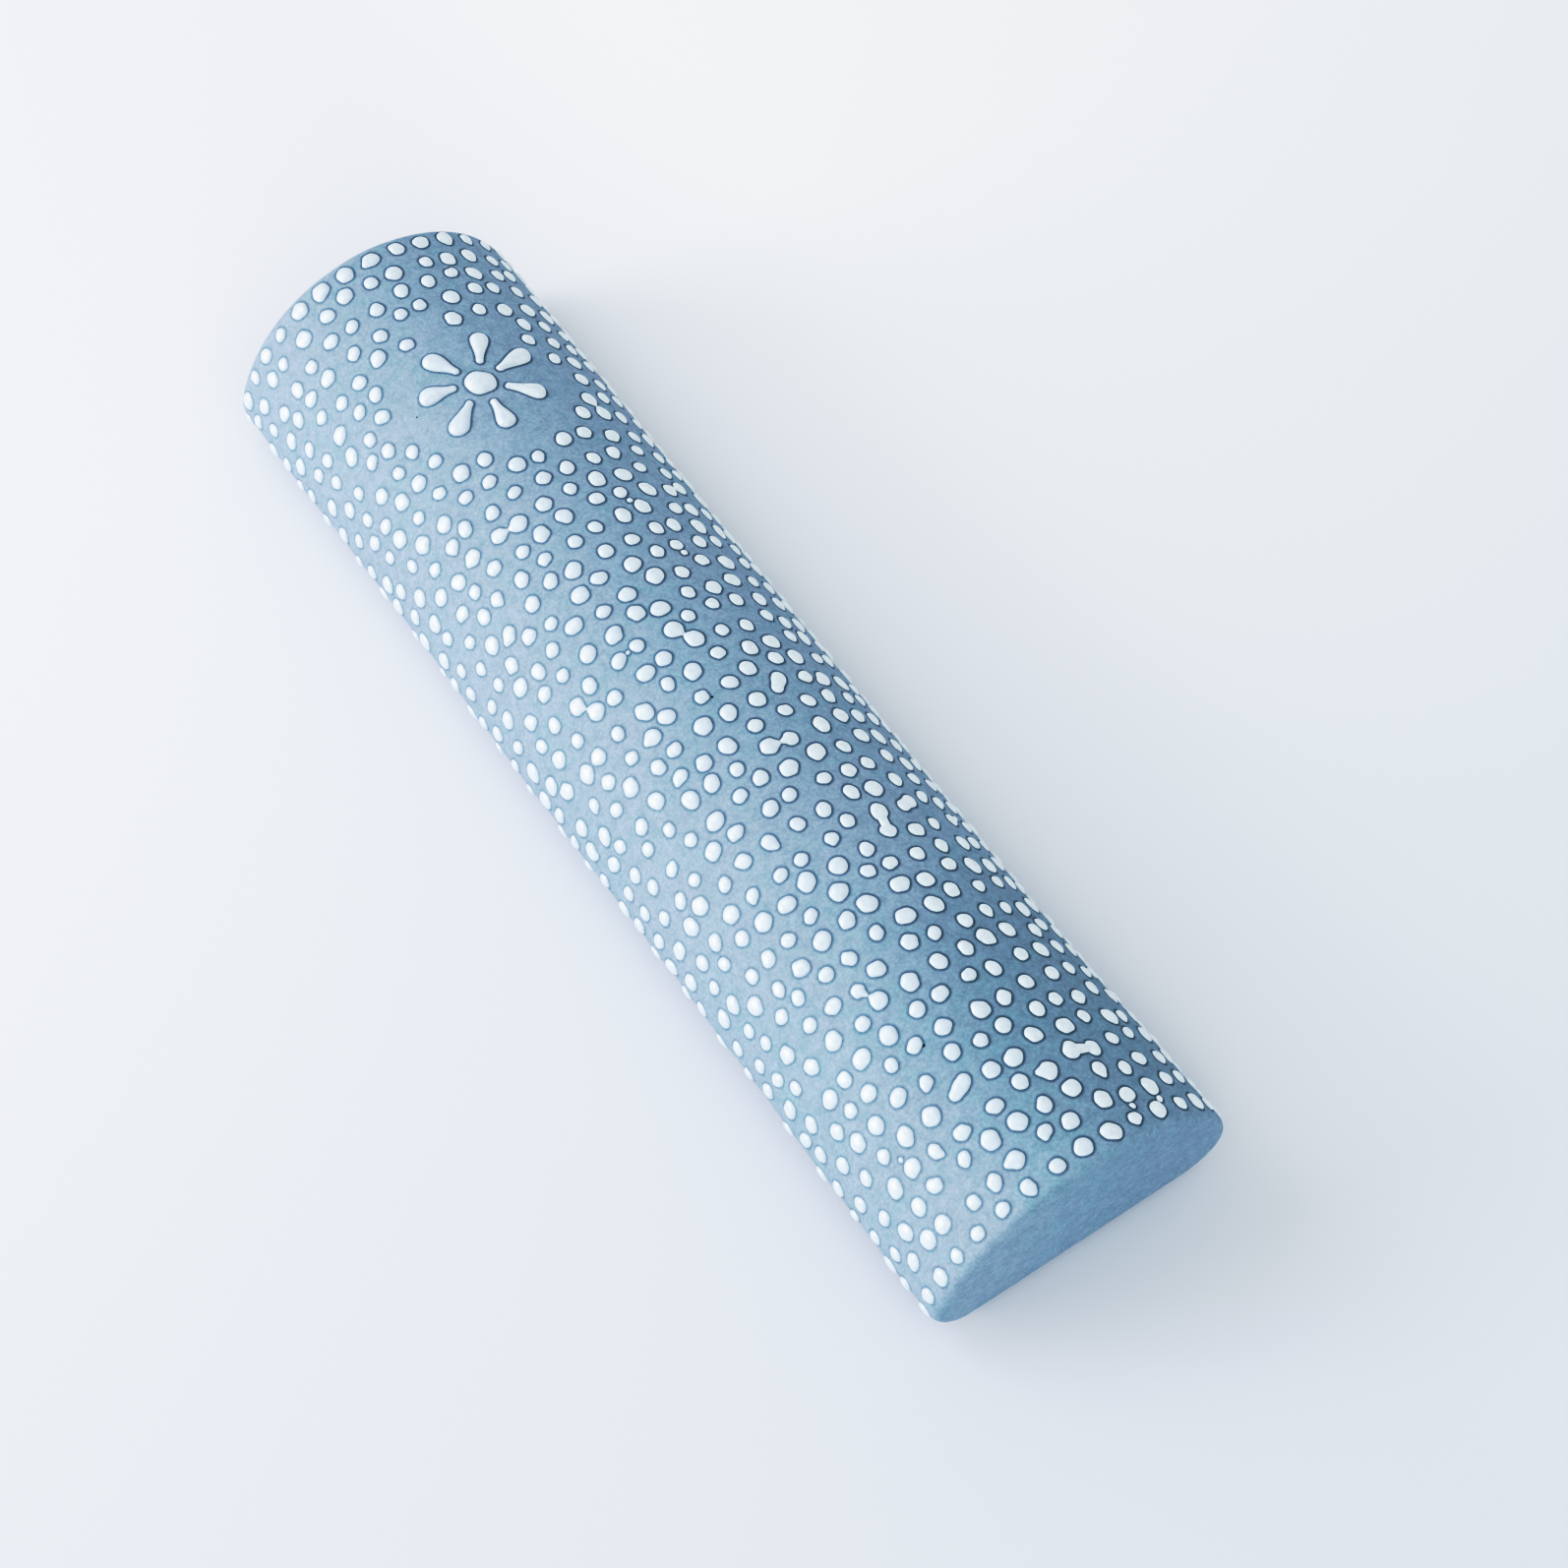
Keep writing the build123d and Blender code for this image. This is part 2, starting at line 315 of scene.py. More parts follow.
def circle_like(ring, radius, y):
    """The circle around the loading hole whose points lie in the same directions as the ring's."""
    angle = np.arctan2(ring[:, 2] - SCROLL_Z, ring[:, 0])
    height = SCROLL_Z + radius * np.sin(angle)
    return np.stack([radius * np.cos(angle), np.full(len(ring), y), height], axis=1)


def top_cap(samples=300):
    """The top slab, with its loading hole and the shallow recess for the stopper's flange."""
    rings = end_slab_skin(1, samples)
    rim = rings[-1]
    mouth = circle_like(rim, RECESS_RADIUS + MOUTH_ROUNDING, HALF_LENGTH)
    for share in np.linspace(0, 1, 12)[1:-1]:
        rings.append(face_texture(rim + (mouth - rim) * share, 1))
    for turn in np.linspace(0, math.pi / 2, 6):
        radius = RECESS_RADIUS + MOUTH_ROUNDING * (1 - math.sin(turn))
        y = HALF_LENGTH - MOUTH_ROUNDING * (1 - math.cos(turn))
        rings.append(circle_like(rim, radius, y))
    floor = HALF_LENGTH - RECESS_DEPTH
    rings.append(circle_like(rim, RECESS_RADIUS, floor))
    rings.append(circle_like(rim, HOLE_RADIUS + HOLE_BEVEL, floor))
    rings.append(circle_like(rim, HOLE_RADIUS, floor - HOLE_BEVEL))
    rings.append(circle_like(rim, HOLE_RADIUS, SEAM))
    return lathe_of_rings("top_cap_clay", rings, "ceramic_body", "top_end_cap", True)


def build_clay():
    along = np.linspace(-SEAM, SEAM, 260)
    return [front_slab(along), back_slab(along), bottom_cap(), top_cap()]


# ---- Raised slip ----------------------------------------------------------------------------------------

DOT_HEIGHT = 0.31 * MM
SPREAD = 1.03                   # the slip settles a little wider than it is laid
HALO_SHADE_WIDTH = 0.35 * MM                # width of the darker ring of painted shade around the foot of each drop
LEFT_FLANK_HALO_SHADE = 0.42               # strength of the painted shade rings on the lit left flank, where they are faintest
SUNK = 0.12 * MM                # the underside of a drop lies this deep in the clay
SKIRT = 0.03 * MM               # height of a drop's outer edge above the clay
MIDDLE_RADIUS = 0.78 * MM       # a dot of this radius has the full height
STRETCH = (0.01, 0.11)          # how far a dot is from round
LUMP = 0.036                    # the largest of a dot's three waves, as a share of its radius
SHORT_TAIL = 0.13               # the longest tail of most dots, as a share of the radius
LONG_TAIL = (0.22, 0.42)
LONG_TAIL_RARITY = 0.06         # this share of the dots has a long tail
TAIL_WIDTH = 0.42               # radians
JOINING_TAIL_WIDTH = 0.30
TAIL_OVERLAP = 0.06 * MM        # two tails that meet reach this far past halfway
LIFT_HEADING = math.radians(-125)     # most tails point this way across the case
JOINED_PAIRS = 9
WIDEST_JOINED_GAP = 0.95 * MM
PAIR_SPACING = 11 * MM          # joined pairs are at least this far apart
PAIRS_WITHIN = (13 * MM, 52 * MM)     # of the crown's middle, across and along
BEANS_WITHIN = (12 * MM, 50 * MM)
BEAN_HALF_LENGTH = 0.62 * MM    # from its middle to the middle of each round end
BEAN_RADII = (0.62 * MM, 0.70 * MM)
HEART_HEIGHT = 0.62 * MM        # the flower's heart
PETAL_START = 2.75 * MM         # distances from the heart to the middle of each round end
PETAL_ENDS = (5.2 * MM, 5.9 * MM)
PETAL_RADII = (0.36 * MM, 0.98 * MM)
PETAL_EDGE = 0.20 * MM          # a petal is this high, and higher where it is wider
PETAL_RISE = 0.36
# Each level of a drop: share of the way out to its edge, and share of its height.
DROP_PROFILE = ((0.34, 0.965), (0.60, 0.845), (0.80, 0.64), (0.92, 0.41), (0.985, 0.19))
# Each level of the halo of painted shade: share of its width, height above the clay, and how dark it is.
HALO_SHADE_PROFILE = ((0.04, 0.014 * MM, 1.0), (0.45, 0.010 * MM, 0.75), (1.0, -0.004 * MM, 0.0))


def islands(node):
    """The corner points of each separate solid in a CAD node, one array for each solid."""
    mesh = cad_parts[node].data
    coordinates = np.zeros(len(mesh.vertices) * 3)
    mesh.vertices.foreach_get("co", coordinates)
    coordinates = coordinates.reshape(-1, 3)
    whole = np.round(coordinates / (0.001 * MM)).astype(int)
    _, same_place = np.unique(whole, axis=0, return_inverse=True)
    same_place = same_place.ravel()
    parent = list(range(same_place.max() + 1))

    def root(k):
        while parent[k] != k:
            parent[k] = parent[parent[k]]
            k = parent[k]
        return k

    for edge in mesh.edges:
        first = root(same_place[edge.vertices[0]])
        second = root(same_place[edge.vertices[1]])
        parent[second] = first
    groups = {}
    for k, place in enumerate(same_place):
        groups.setdefault(root(place), []).append(k)
    found = [coordinates[members] for members in groups.values()]
    found.sort(key=lambda block: tuple(np.round(block.mean(axis=0), 6)))
    return found


def middle_of(block):
    return (block.min(axis=0) + block.max(axis=0)) / 2


def radius_of(block):
    return (block[:, 1].max() - block[:, 1].min()) / 2


def is_within(spot, limits):
    return abs(spot[0]) < limits[0] and abs(spot[1]) < limits[1]


def place_on_clay(point):
    """Distance around the outline from the crown, and along, of the clay below a point."""
    side = -1 if point[0] < 0 else 1
    x = abs(point[0])
    lean = math.atan2(x, point[2] - DOME_Z)
    if lean <= DOME_LEAN:
        return np.array([side * lean * DOME_RADIUS, point[1]])
    lean = math.atan2(x - CORNER_X, point[2] - CORNER_Z)
    return np.array([side * (DOME_ARC + (lean - DOME_LEAN) * CORNER), point[1]])


class SlipMesh:
    """Collects many separate drops of slip, each one closed, then lays them all on the clay at once."""

    def __init__(self):
        self.spots = []
        self.heights = []
        self.tones = []
        self.faces = []
        self.total = 0

    def add_ring(self, spots, height, white, shade):
        """spots is an array of (across, along) pairs. Returns the new vertex numbers."""
        count = len(spots)
        self.spots.append(spots)
        self.heights.append(np.broadcast_to(height, count))
        self.tones += [(white, shade, 0.0, 1.0)] * count
        self.total += count
        return list(range(self.total - count, self.total))

    def add_drop(self, outline, spine, height):
        """The drop rises from each point of the outline towards the spine point of the same number."""
        reach = outline - spine
        length = np.linalg.norm(reach, axis=1)[:, None]
        middle = spine.mean(axis=0)[None]
        top = self.add_ring(middle, height.mean(), 1.0, 0.0)[0]
        rings = []
        for share, rise in DROP_PROFILE:
            rings.append(self.add_ring(spine + reach * share, height * rise, 1.0, 0.0))
        rings.append(self.add_ring(outline, SKIRT, 1.0, 0.0))
        for share, lift, shade in HALO_SHADE_PROFILE:
            rings.append(self.add_ring(outline + reach / length * HALO_SHADE_WIDTH * share, lift, 0.0, shade))
        rings.append(self.add_ring(spine + reach * 0.9, -SUNK, 0.0, 0.0))
        foot = self.add_ring(middle, -SUNK, 0.0, 0.0)[0]
        self.faces += fan_faces(top, rings[0])
        for first, second in zip(rings, rings[1:]):
            self.faces += [tuple(reversed(face)) for face in ring_faces(first, second)]
        self.faces += [tuple(reversed(face)) for face in fan_faces(foot, rings[-1])]

    def build(self, name, replaced):
        spots = np.concatenate(self.spots)
        point, normal = clay_surface(spots[:, 0], spots[:, 1])
        vertices = point + normal * np.concatenate(self.heights)[:, None]
        piece = new_piece(name, vertices, self.faces, "ceramic_body", replaced, 80)
        tones = np.array(self.tones, np.float32)
        # Painted shade: the halos are painted faint on the lit left flank and at full strength on the
        # shaded right.
        tones[:, 1] *= LEFT_FLANK_HALO_SHADE + (1 - LEFT_FLANK_HALO_SHADE) * smooth_step(-15 * MM, 6 * MM, spots[:, 0])
        tone = piece.data.attributes.new("slip_and_halo_shade", "FLOAT_COLOR", "POINT")
        tone.data.foreach_set("color", tones.ravel())
        return piece


class Dot:
    """One dot of slip, with the tail it may have where the trailer's nozzle was lifted."""

    def __init__(self, place, radius, draw):
        self.place = place
        self.radius = radius
        self.stretch = draw.uniform(*STRETCH)
        self.heading = draw.uniform(0, math.pi)
        self.lumps = [(k, draw.uniform(0, LUMP), draw.uniform(0, 2 * math.pi)) for k in (3, 4, 5)]
        self.tail_heading = LIFT_HEADING + draw.gauss(0, 0.8)
        self.tail = radius * draw.uniform(0.0, SHORT_TAIL)
        self.tail_width = TAIL_WIDTH
        if draw.random() < LONG_TAIL_RARITY:
            self.tail = radius * draw.uniform(*LONG_TAIL)
        self.height = DOT_HEIGHT * draw.uniform(0.85, 1.06) * (radius / MIDDLE_RADIUS) ** 0.5

    def outline(self, points=24):
        angle = np.linspace(0, 2 * math.pi, points, endpoint=False)
        reach = 1 + self.stretch * np.cos(2 * (angle - self.heading))
        for k, size, phase in self.lumps:
            reach += size * np.cos(k * angle + phase)
        away = np.abs((angle - self.tail_heading + math.pi) % (2 * math.pi) - math.pi)
        reach = reach * self.radius + self.tail * np.exp(-(away / self.tail_width) ** 2)
        return self.place + np.stack([np.cos(angle), np.sin(angle)], axis=1) * reach[:, None]

    def point_at(self, other):
        """Draws the dot out into a tail that meets another dot's tail halfway."""
        step = other.place - self.place
        self.tail_heading = math.atan2(step[1], step[0])
        self.tail = np.linalg.norm(step) / 2 - self.radius + TAIL_OVERLAP
        self.tail_width = JOINING_TAIL_WIDTH
        self.stretch *= 0.3

    def lay(self, slip):
        outline = self.outline()
        spine = np.repeat(self.place[None], len(outline), axis=0)
        slip.add_drop(outline, spine, np.full(len(outline), self.height))


def streak(start, end, start_radius, end_radius, waver, draw):
    """A trailed line of slip with round ends: its outline, and the spine point below each outline point."""
    heading = math.atan2(end[1] - start[1], end[0] - start[0])
    around_end = [(1.0, turn) for turn in np.linspace(-90, 90, 11)]
    left_side = [(share, 90) for share in np.linspace(1, 0, 9)[1:-1]]
    around_start = [(0.0, turn) for turn in np.linspace(90, 270, 9)]
    right_side = [(share, 270) for share in np.linspace(0, 1, 9)[1:-1]]
    outline, spine = [], []
    phase = draw.uniform(0, 2 * math.pi)
    for k, (share, turn) in enumerate(around_end + left_side + around_start + right_side):
        direction = heading + math.radians(turn)
        radius = start_radius + (end_radius - start_radius) * float(smooth_step(0, 1, share))
        radius *= 1 + waver * math.sin(2 * math.radians(turn) + 5 * share + phase)
        base = start + (end - start) * share
        spine.append(base)
        outline.append(base + radius * np.array([math.cos(direction), math.sin(direction)]))
    return np.array(outline), np.array(spine)


def nearest_pairs(dots, widest_gap):
    """Pairs of dots whose edges are less than a gap apart, each as (gap, number, number)."""
    places = np.array([dot.place for dot in dots])
    pairs = []
    for k, dot in enumerate(dots):
        distances = np.linalg.norm(places[k + 1:] - dot.place, axis=1)
        for step in np.nonzero(distances < 3 * MM)[0]:
            other = k + 1 + int(step)
            gap = distances[step] - dot.radius - dots[other].radius
            if gap < widest_gap:
                pairs.append((gap, k, other))
    return pairs


def clearance(place, dots, skip=None):
    return min(np.linalg.norm(dot.place - place) - dot.radius for dot in dots if dot is not skip)


def join_some_dots(dots, slip, draw):
    """Lets a few close neighbours touch: most meet by fine tails, every fourth pair by a wide bridge."""
    chosen = []
    for _, first, second in sorted(nearest_pairs(dots, WIDEST_JOINED_GAP)):
        a, b = dots[first], dots[second]
        middle = (a.place + b.place) / 2
        if not is_within(middle, PAIRS_WITHIN):
            continue
        if any(np.linalg.norm(middle - other) < PAIR_SPACING for other in chosen):
            continue
        chosen.append(middle)
        if len(chosen) % 4 == 0:
            outline, spine = streak(a.place, b.place, 0.62 * a.radius, 0.55 * b.radius, 0.05, draw)
            slip.add_drop(outline, spine, np.full(len(outline), 0.85 * a.height))
        else:
            a.point_at(b)
            b.point_at(a)
        if len(chosen) == JOINED_PAIRS:
            return


def add_long_dots(dots, slip, draw, count=3):
    """Turns the roomiest dots into short trailed beans."""
    on_front = [dot for dot in dots if is_within(dot.place, BEANS_WITHIN)]
    roomy = sorted(on_front, key=lambda dot: -clearance(dot.place, dots, dot))[:count]
    for dot in roomy:
        heading = draw.uniform(0.2, 1.0)
        step = np.array([math.cos(heading), math.sin(heading)]) * BEAN_HALF_LENGTH
        outline, spine = streak(dot.place - step, dot.place + step, *BEAN_RADII, 0.06, draw)
        slip.add_drop(outline, spine, np.full(len(outline), dot.height))
        dots.remove(dot)


def add_tiny_dots(dots, draw, count=7):
    """A few splashes, each beside a dot and clear of the others."""
    tiny = []
    while len(tiny) < count:
        dot = draw.choice(dots)
        turn = draw.uniform(0, 2 * math.pi)
        radius = draw.uniform(0.20, 0.34) * MM
        reach = dot.radius + radius + draw.uniform(0.12, 0.3) * MM
        place = dot.place + reach * np.array([math.cos(turn), math.sin(turn)])
        if clearance(place, dots) > radius + 0.1 * MM and abs(place[0]) < 15 * MM:
            tiny.append(Dot(place, radius, draw))
    dots += tiny


def build_dots():
    draw = random.Random(11)
    slip = SlipMesh()
    dots = []
    for block in islands("slip_dots"):
        place = place_on_clay(middle_of(block))
        radius = radius_of(block) * SPREAD * draw.uniform(0.95, 1.05)
        dots.append(Dot(place, radius, draw))
    add_long_dots(dots, slip, draw)
    join_some_dots(dots, slip, draw)
    add_tiny_dots(dots, draw)
    for dot in dots:
        dot.lay(slip)
    return slip.build("slip_dots_fired", "slip_dots")


def build_flower():
    """A heart of slip with a ring of trailed petals, each a little different."""
    draw = random.Random(4)
    slip = SlipMesh()
    blocks = islands("slip_flower")
    middles = [middle_of(block) for block in blocks]
    heart = place_on_clay(np.mean(middles, axis=0))
    for block, middle in zip(blocks, middles):
        step = place_on_clay(middle) - heart
        if np.linalg.norm(step) < 1.0 * MM:
            dot = Dot(heart, radius_of(block), draw)
            dot.height = HEART_HEIGHT
            dot.lay(slip)
            continue
        heading = math.atan2(step[1], step[0]) + draw.uniform(-0.06, 0.06)
        ray = np.array([math.cos(heading), math.sin(heading)])
        start = heart + ray * PETAL_START
        end = heart + ray * draw.uniform(*PETAL_ENDS)
        root_radius, tip_radius = PETAL_RADII
        outline, spine = streak(start, end, root_radius, tip_radius * draw.uniform(0.88, 1.06), 0.05, draw)
        width = np.linalg.norm(outline - spine, axis=1)
        slip.add_drop(outline, spine, PETAL_EDGE + width * PETAL_RISE)
    return slip.build("slip_flower_fired", "slip_flower")


# ---- What goes inside, and the tape behind --------------------------------------------------------------


def axis_ring(radius, y, samples=72):
    """A circle of points around the axis of the scroll and the loading hole."""
    angle = np.linspace(0, 2 * math.pi, samples, endpoint=False)
    across, up = radius * np.cos(angle), radius * np.sin(angle)
    return np.stack([across, np.full(samples, y), SCROLL_Z + up], axis=1)


FLANGE_THICKNESS = 1.3 * MM
FLANGE_ROUNDING = 0.4 * MM
SHANK_RADIUS = 4.7 * MM
NOSE_RADIUS = 4.1 * MM
RIB_RADIUS = 5.15 * MM
RIB_WIDTH = 1.0 * MM
RIB_POSITIONS = (1.0 * MM, 2.4 * MM, 3.8 * MM)
# The dish in the flange's top: radius, and depth below the rim.
DISH = ((0.8 * MM, 0.26 * MM), (2.2 * MM, 0.22 * MM), (3.4 * MM, 0.10 * MM), (4.2 * MM, 0.01 * MM))
DISH_EDGE = 4.9 * MM


def stopper_profile():
    """Radius and height pairs from the dished top of the flange, down past the ribs, to the nose."""
    top, end = stopper_high.y, stopper_low.y
    base = top - FLANGE_THICKNESS
    edge = FLANGE_RADIUS - FLANGE_ROUNDING
    profile = [(radius, top - depth) for radius, depth in DISH]
    profile.append((DISH_EDGE, top))
    for turn in np.linspace(90, 0, 7):
        rise = FLANGE_ROUNDING * (1 - math.sin(math.radians(turn)))
        profile.append((edge + FLANGE_ROUNDING * math.cos(math.radians(turn)), top - rise))
    profile += [(FLANGE_RADIUS, base + 0.1 * MM), (FLANGE_RADIUS - 0.1 * MM, base)]
    profile += [(SHANK_RADIUS + 0.1 * MM, base), (SHANK_RADIUS, base - 0.1 * MM)]
    for position in RIB_POSITIONS:
        for share in np.linspace(-1, 1, 9):
            bulge = (RIB_RADIUS - SHANK_RADIUS) * math.cos(share * math.pi / 2) ** 0.7
            profile.append((SHANK_RADIUS + bulge, base - position - share * RIB_WIDTH / 2))
    profile += [(SHANK_RADIUS, end + 0.75 * MM), (SHANK_RADIUS - 0.08 * MM, end + 0.55 * MM)]
    profile += [(NOSE_RADIUS + 0.08 * MM, end + 0.1 * MM), (NOSE_RADIUS - 0.1 * MM, end), (2.0 * MM, end)]
    return profile


def build_stopper():
    rings = [axis_ring(radius, y) for radius, y in stopper_profile()]
    return lathe_of_rings("stopper_rubber", rings, "stopper", "stopper")


SLEEVE_WALL = 0.25 * MM


def build_sleeve():
    rings = [axis_ring(SLEEVE_RADIUS, y) for y in np.linspace(sleeve_low.y, sleeve_high.y, 9)]
    bore = SLEEVE_RADIUS - SLEEVE_WALL
    rings += [axis_ring(bore, y) for y in np.linspace(sleeve_high.y, sleeve_low.y, 9)]
    return lathe_of_rings("sleeve_film", rings, "scroll", "scroll_sleeve", True)


SHEET_THICKNESS = 0.30 * MM
SHEET_INNER_RADIUS = 2.3 * MM
SHEET_PITCH = 0.42 * MM
SHEET_TURNS = 4.5


def build_parchment():
    """One rolled sheet: its spiral outline carried from end to end, with a slightly uneven cut at each."""
    angle = np.linspace(0, SHEET_TURNS * 2 * math.pi, 190)
    inner = SHEET_INNER_RADIUS + SHEET_PITCH * angle / (2 * math.pi)
    outer = inner + SHEET_THICKNESS
    across = np.concatenate([outer * np.cos(angle), (inner * np.cos(angle))[::-1]])
    up = np.concatenate([outer * np.sin(angle), (inner * np.sin(angle))[::-1]])
    length = parchment_high.y - parchment_low.y
    rings = []
    for share in np.linspace(0, 1, 13):
        y = parchment_low.y + length * share
        ring = np.stack([across, np.full(len(across), y), SCROLL_Z + up], axis=1)
        ring[:, 1] += waves(ring, 5 * MM, 31) * 0.08 * MM * (2 * share - 1) - (2 * share - 1) * 0.2 * MM
        rings.append(ring)
    size = len(across)
    vertices = np.concatenate(rings)
    faces = []
    for k in range(len(rings) - 1):
        first = list(range(k * size, (k + 1) * size))
        second = list(range((k + 1) * size, (k + 2) * size))
        faces += ring_faces(first, second)
    for base in (0, size * (len(rings) - 1)):
        outside = list(range(base, base + size // 2))
        inside = list(range(base + size - 1, base + size // 2 - 1, -1))
        faces += strip_faces(outside, inside)
    return new_piece("parchment_sheet", vertices, faces, "scroll", "parchment_scroll")


PAD_CORNER = 1.0 * MM
PAD_BULGE = 0.07 * MM


def pad_outline(low, high, grow, samples=9):
    """A rectangle with rounded corners, as (x, y) points, grown outwards by this much."""
    points = []
    corners = ((high.x, high.y, 0), (low.x, high.y, 90), (low.x, low.y, 180), (high.x, low.y, 270))
    for x, y, start in corners:
        middle_x = x - math.copysign(PAD_CORNER, x - (low.x + high.x) / 2)
        middle_y = y - math.copysign(PAD_CORNER, y - (low.y + high.y) / 2)
        for turn in np.linspace(start, start + 90, samples):
            reach = PAD_CORNER + grow
            points.append((middle_x + reach * math.cos(math.radians(turn)),
                           middle_y + reach * math.sin(math.radians(turn))))
    return np.array(points)


def build_pad(node):
    """A pad of foam tape, squeezed a little so that its edge bulges."""
    low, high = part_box(node)
    rings = []
    for share in np.linspace(0, 1, 9):
        outline = pad_outline(low, high, PAD_BULGE * math.sin(share * math.pi))
        level = low.z + (high.z - low.z) * share
        rings.append(np.column_stack([outline, np.full(len(outline), level)]))
    return lathe_of_rings(node + "_tape", rings, "ceramic_body", node)


# ---- Node helpers for materials -------------------------------------------------------------------------


class Paint:
    """A material's node tree with short ways to add and join nodes."""

    # The mix node has sockets of one name for numbers and for colours, so the colours go by position.
    FIRST_COLOUR = 6
    SECOND_COLOUR = 7
    MIXED_COLOUR = 2

    def __init__(self, name):
        self.material = bpy.data.materials.new(name)
        self.material.use_nodes = True
        self.tree = self.material.node_tree
        self.tree.nodes.clear()
        self.output = self.add("ShaderNodeOutputMaterial")
        self.place = self.add("ShaderNodeTexCoord").outputs["Object"]

    def add(self, kind, **settings):
        node = self.tree.nodes.new(kind)
        for key, value in settings.items():
            setattr(node, key, value)
        return node

    def link(self, source, target):
        self.tree.links.new(source, target)

    def put(self, node, socket, value):
        """Sets an input to a number or colour, or links it to another node's output."""
        if isinstance(value, bpy.types.NodeSocket):
            self.link(value, node.inputs[socket])
        else:
            node.inputs[socket].default_value = value

    def noise(self, feature, detail=3.0, roughness=0.5, distortion=0.0):
        """Noise with features of about this size in metres, as a value of 0 to 1."""
        node = self.add("ShaderNodeTexNoise")
        self.link(self.place, node.inputs["Vector"])
        node.inputs["Scale"].default_value = 1 / feature
        node.inputs["Detail"].default_value = detail
        node.inputs["Roughness"].default_value = roughness
        node.inputs["Distortion"].default_value = distortion
        return node.outputs["Fac"]

    def remap(self, value, low, high, new_low=0.0, new_high=1.0):
        node = self.add("ShaderNodeMapRange", interpolation_type="SMOOTHSTEP")
        self.put(node, "Value", value)
        limits = {"From Min": low, "From Max": high, "To Min": new_low, "To Max": new_high}
        for key, number in limits.items():
            node.inputs[key].default_value = number
        return node.outputs["Result"]

    def mix(self, factor, first, second, blend="MIX"):
        node = self.add("ShaderNodeMix", data_type="RGBA", blend_type=blend)
        self.put(node, "Factor", factor)
        self.put(node, self.FIRST_COLOUR, first)
        self.put(node, self.SECOND_COLOUR, second)
        return node.outputs[self.MIXED_COLOUR]

    def maths(self, operation, first, second):
        node = self.add("ShaderNodeMath", operation=operation)
        self.put(node, 0, first)
        self.put(node, 1, second)
        return node.outputs[0]

    def bump(self, height, distance, strength=1.0, after=None):
        node = self.add("ShaderNodeBump")
        node.inputs["Strength"].default_value = strength
        node.inputs["Distance"].default_value = distance
        self.link(height, node.inputs["Height"])
        if after is not None:
            self.link(after, node.inputs["Normal"])
        return node.outputs["Normal"]

    def surface(self, **inputs):
        """A Principled surface; returns the shader output."""
        node = self.add("ShaderNodeBsdfPrincipled")
        for key, value in inputs.items():
            self.put(node, key.replace("_", " "), value)
        return node.outputs["BSDF"]

    def finish(self, shader):
        self.link(shader, self.output.inputs["Surface"])
        return self.material


def srgb(red, green, blue):
    """A colour given as 0 to 255 display values, as linear light."""
    linear = []
    for value in (red, green, blue):
        v = value / 255
        linear.append(v / 12.92 if v <= 0.04045 else ((v + 0.055) / 1.055) ** 2.4)
    return (*linear, 1.0)


# ---- Materials ------------------------------------------------------------------------------------------

CLAY_GREENER = srgb(141, 166, 181)
CLAY_PURPLER = srgb(147, 166, 182)
CLAY_BLOTCH = srgb(151, 168, 184)
CLAY_FLECK = srgb(154, 167, 187)
NEAR_END_SHADE = srgb(231, 239, 239)                   # painted shade: the clay's colour is multiplied by this where the shade is deepest
NEAR_END_SHADE_AT = (11 * MM, -46 * MM, 16 * MM)
NEAR_END_SHADE_FULL = 9 * MM                           # distances from that spot
NEAR_END_SHADE_ENDS = 24 * MM
SPECK = srgb(38, 46, 58)
SPECK_CELL = 5.0 * MM                         # at most one speck in each cell of this size
SPECK_RADIUS = 0.035                          # as a share of a cell
SPECK_RARITY = 0.62                           # cells below this draw stay empty
HALO_SHADE_COLOUR = srgb(127, 153, 163)              # the clay's colour is multiplied by this in a halo of painted shade


def clay_colour(paint):
    """Blue stained porcelain: greener and more purple patches, blotches, flecks, grain, and painted shade
    around one spot.
    """
    patches = paint.remap(paint.noise(11 * MM, 3, 0.55, 0.3), 0.3, 0.7)
    colour = paint.mix(patches, CLAY_GREENER, CLAY_PURPLER)
    blotches = paint.remap(paint.noise(2.6 * MM, 4, 0.6), 0.36, 0.68)
    colour = paint.mix(paint.maths("MULTIPLY", blotches, 0.45), colour, CLAY_BLOTCH)
    flecks = paint.remap(paint.noise(1.3 * MM, 3, 0.6), 0.35, 0.65)
    colour = paint.mix(paint.maths("MULTIPLY", flecks, 0.5), colour, CLAY_FLECK)
    mottling = paint.remap(paint.noise(0.9 * MM, 3, 0.6), 0.3, 0.7, 0.93, 1.07)
    grain = paint.remap(paint.noise(0.30 * MM, 3, 0.7), 0.3, 0.7, 0.885, 1.115)
    tone = paint.add("ShaderNodeCombineColor")
    both = paint.maths("MULTIPLY", mottling, grain)
    for channel in ("Red", "Green", "Blue"):
        paint.link(both, tone.inputs[channel])
    colour = paint.mix(1.0, colour, tone.outputs[0], "MULTIPLY")
    return specks(paint, paint_near_end_shade(paint, colour))


# Painted shade: darkens the clay around a spot on the right flank towards the near end.
def paint_near_end_shade(paint, colour):
    deeper = paint.mix(1.0, colour, NEAR_END_SHADE, "MULTIPLY")
    away = paint.add("ShaderNodeVectorMath", operation="DISTANCE")
    paint.link(paint.place, away.inputs[0])
    away.inputs[1].default_value = NEAR_END_SHADE_AT
    return paint.mix(paint.remap(away.outputs["Value"], NEAR_END_SHADE_FULL, NEAR_END_SHADE_ENDS, 1.0, 0.0), colour, deeper)


